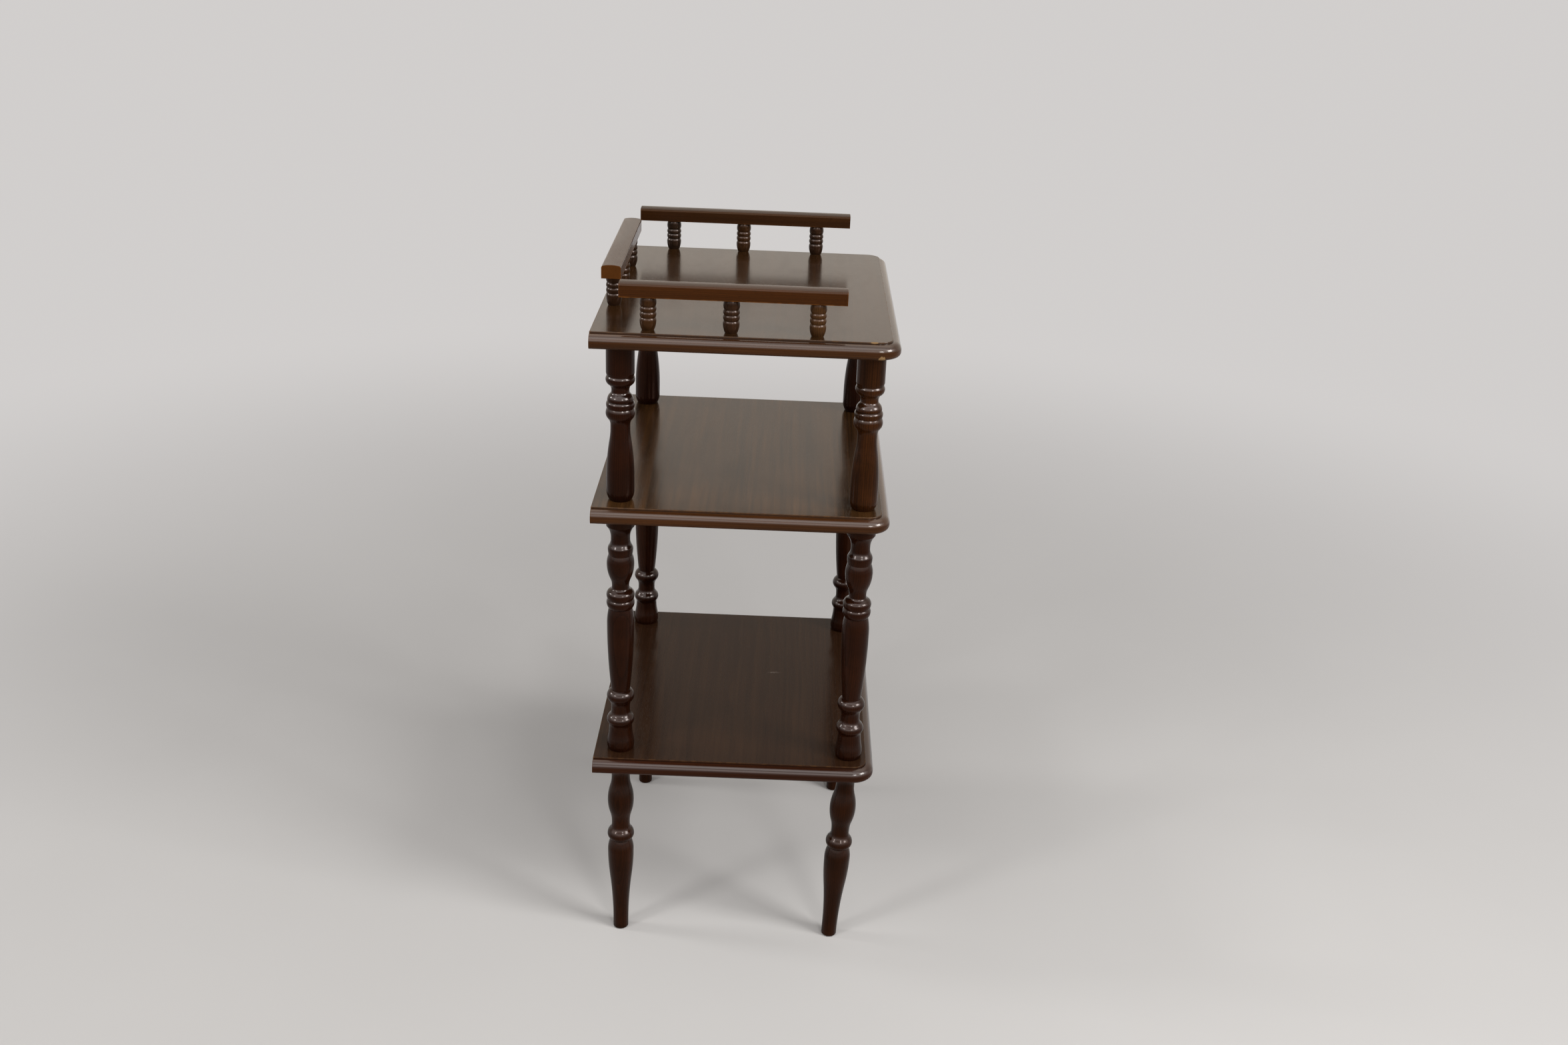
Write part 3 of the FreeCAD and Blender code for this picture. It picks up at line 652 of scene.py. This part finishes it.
def lay_floor():
    """A pale floor that fades into the background colour far from the stand."""
    mesh = bpy.data.meshes.new("floor")
    corners = [(-FLOOR_HALF, -FLOOR_HALF, 0.0), (FLOOR_HALF, -FLOOR_HALF, 0.0)]
    corners += [(FLOOR_HALF, FLOOR_HALF, 0.0), (-FLOOR_HALF, FLOOR_HALF, 0.0)]
    mesh.from_pydata(corners, [], [(0, 1, 2, 3)])
    floor = bpy.data.objects.new("floor", mesh)
    bpy.context.scene.collection.objects.link(floor)
    finish, graph, shader = new_finish("floor_paper")
    place = wood_place(graph, ORIGIN, "Z")
    mottle = graph.noise(graph.stretch(place, 0.004, 0.004), detail=3.0)
    graph.feed(shader.inputs["Base Color"], graph.mix(mottle, FLOOR_DARK, FLOOR_LIGHT))
    shader.inputs["Roughness"].default_value = 0.85
    shader.inputs["Specular IOR Level"].default_value = 0.2
    glow = graph.add("Emission", {"Color": PALE, "Strength": 1.0})
    away = graph.vector("LENGTH", graph.stretch(place, 1.0, 0.0))
    share = graph.ease(away, FADE_START, FADE_END)
    both = graph.add("MixShader", {0: share, 1: shader.outputs["BSDF"], 2: glow.outputs["Emission"]})
    output = next(made for made in graph.tree.nodes if made.type == "OUTPUT_MATERIAL")
    graph.feed(output.inputs["Surface"], both.outputs["Shader"])
    mesh.materials.append(finish)


# Strength of the world: what lights the stand evenly, what gloss mirrors from each side, and what is seen
EVEN_GLOW = 0.3
RIGHT_GLOW = (0.18, 1.0)
LOW_LEFT_GLOW = 1.4
HIGH_LEFT_GLOW = 3.2
OVERHEAD_GLOW = 1.4
BACKGROUND_GLOW = 1.0


def light_world():
    """Even soft light and a pale background. Gloss mirrors a warm right, a bright left and a soft top."""
    world = bpy.data.worlds.new("soft_studio")
    world.use_nodes = True
    world.node_tree.nodes.clear()
    graph = Graph(world.node_tree)
    way = graph.parts(graph.add("TexCoord").outputs["Generated"])
    right = graph.ease(way["X"], -0.55, 0.4, *RIGHT_GLOW)
    low = graph.math("MULTIPLY", graph.ease(way["Z"], -0.02, 0.1), graph.ease(way["Z"], 0.5, 0.22))
    high = graph.math("MULTIPLY", graph.ease(way["Z"], 0.24, 0.38), graph.ease(way["Z"], 0.76, 0.55))
    bright = graph.weighted((low, LOW_LEFT_GLOW), (high, HIGH_LEFT_GLOW))
    left = graph.math("MULTIPLY", graph.ease(way["X"], 0.25, -0.25), bright)
    overhead = graph.ease(way["Z"], 0.6, 0.85, 0.0, OVERHEAD_GLOW)
    mirrored = graph.math("ADD", right, graph.math("ADD", left, overhead))
    path = graph.add("LightPath").outputs
    soft = graph.blend(path["Is Glossy Ray"], EVEN_GLOW, mirrored)
    seen = graph.math("MAXIMUM", path["Is Camera Ray"], path["Is Transmission Ray"])
    strength = graph.blend(seen, soft, BACKGROUND_GLOW)
    warmth = graph.math("MULTIPLY", path["Is Glossy Ray"], graph.ease(way["X"], 0.0, 0.5))
    back = graph.add("Background", {"Color": graph.mix(warmth, PALE, WARM), "Strength": strength})
    graph.add("OutputWorld", {"Surface": back.outputs["Background"]})
    bpy.context.scene.world = world


# What most lamps look at, and the lamps
STAND_MIDDLE = (0.0, 0.0, 0.45)
LAMPS = (
    Lamp("ceiling_panel", spot=(-1.3, 0.0, 2.6), aim=(-0.4, 0.0, 0.45), sides=(4.0, 1.2), watts=24.0),
    Lamp("front_lamp", spot=(-1.2, -2.25, 1.95), aim=STAND_MIDDLE, sides=(1.0, 1.0), watts=47.0),
    Lamp("side_lamp", spot=(-2.3, -0.85, 1.75), aim=STAND_MIDDLE, sides=(0.4, 0.4), watts=10.0),
    Lamp("corner_lamp", spot=(-1.6, 1.8, 1.75), aim=STAND_MIDDLE, sides=(0.4, 0.4), watts=10.0),
    Lamp("back_lamp", spot=(0.15, 2.5, 1.65), aim=STAND_MIDDLE, sides=(0.45, 0.45), watts=12.5),
)


def hang_lamp(lamp):
    """A soft rectangular lamp that the camera doesn't see."""
    light = bpy.data.lights.new(lamp.name, "AREA")
    light.shape = "RECTANGLE"
    light.size, light.size_y = lamp.sides
    light.energy = lamp.watts
    holder = bpy.data.objects.new(lamp.name, light)
    holder.location = lamp.spot
    holder.rotation_mode = "QUATERNION"
    holder.rotation_quaternion = (Vector(lamp.aim) - Vector(lamp.spot)).to_track_quat("-Z", "Y")
    holder.visible_camera = False
    bpy.context.scene.collection.objects.link(holder)


# Camera at the photograph's view: place in metres, turn in radians, sensor and lens in millimetres
CAMERA_SPOT = (-1.70907, -0.03844, 1.16207)
CAMERA_TURN = (1.17361, -0.0378, -1.5587)
SENSOR_WIDTH = 36.0
LENS_LENGTH = 37.367


def set_camera():
    """Sets up the camera and makes it the scene's own."""
    lens = bpy.data.cameras.new("photo_view")
    lens.sensor_width = SENSOR_WIDTH
    lens.lens = LENS_LENGTH
    camera = bpy.data.objects.new("photo_view", lens)
    camera.location = CAMERA_SPOT
    camera.rotation_euler = CAMERA_TURN
    bpy.context.scene.collection.objects.link(camera)
    bpy.context.scene.camera = camera


dress_frame()
lay_floor()
light_world()
for lamp in LAMPS:
    hang_lamp(lamp)
set_camera()
bpy.context.scene.view_settings.view_transform = "Standard"
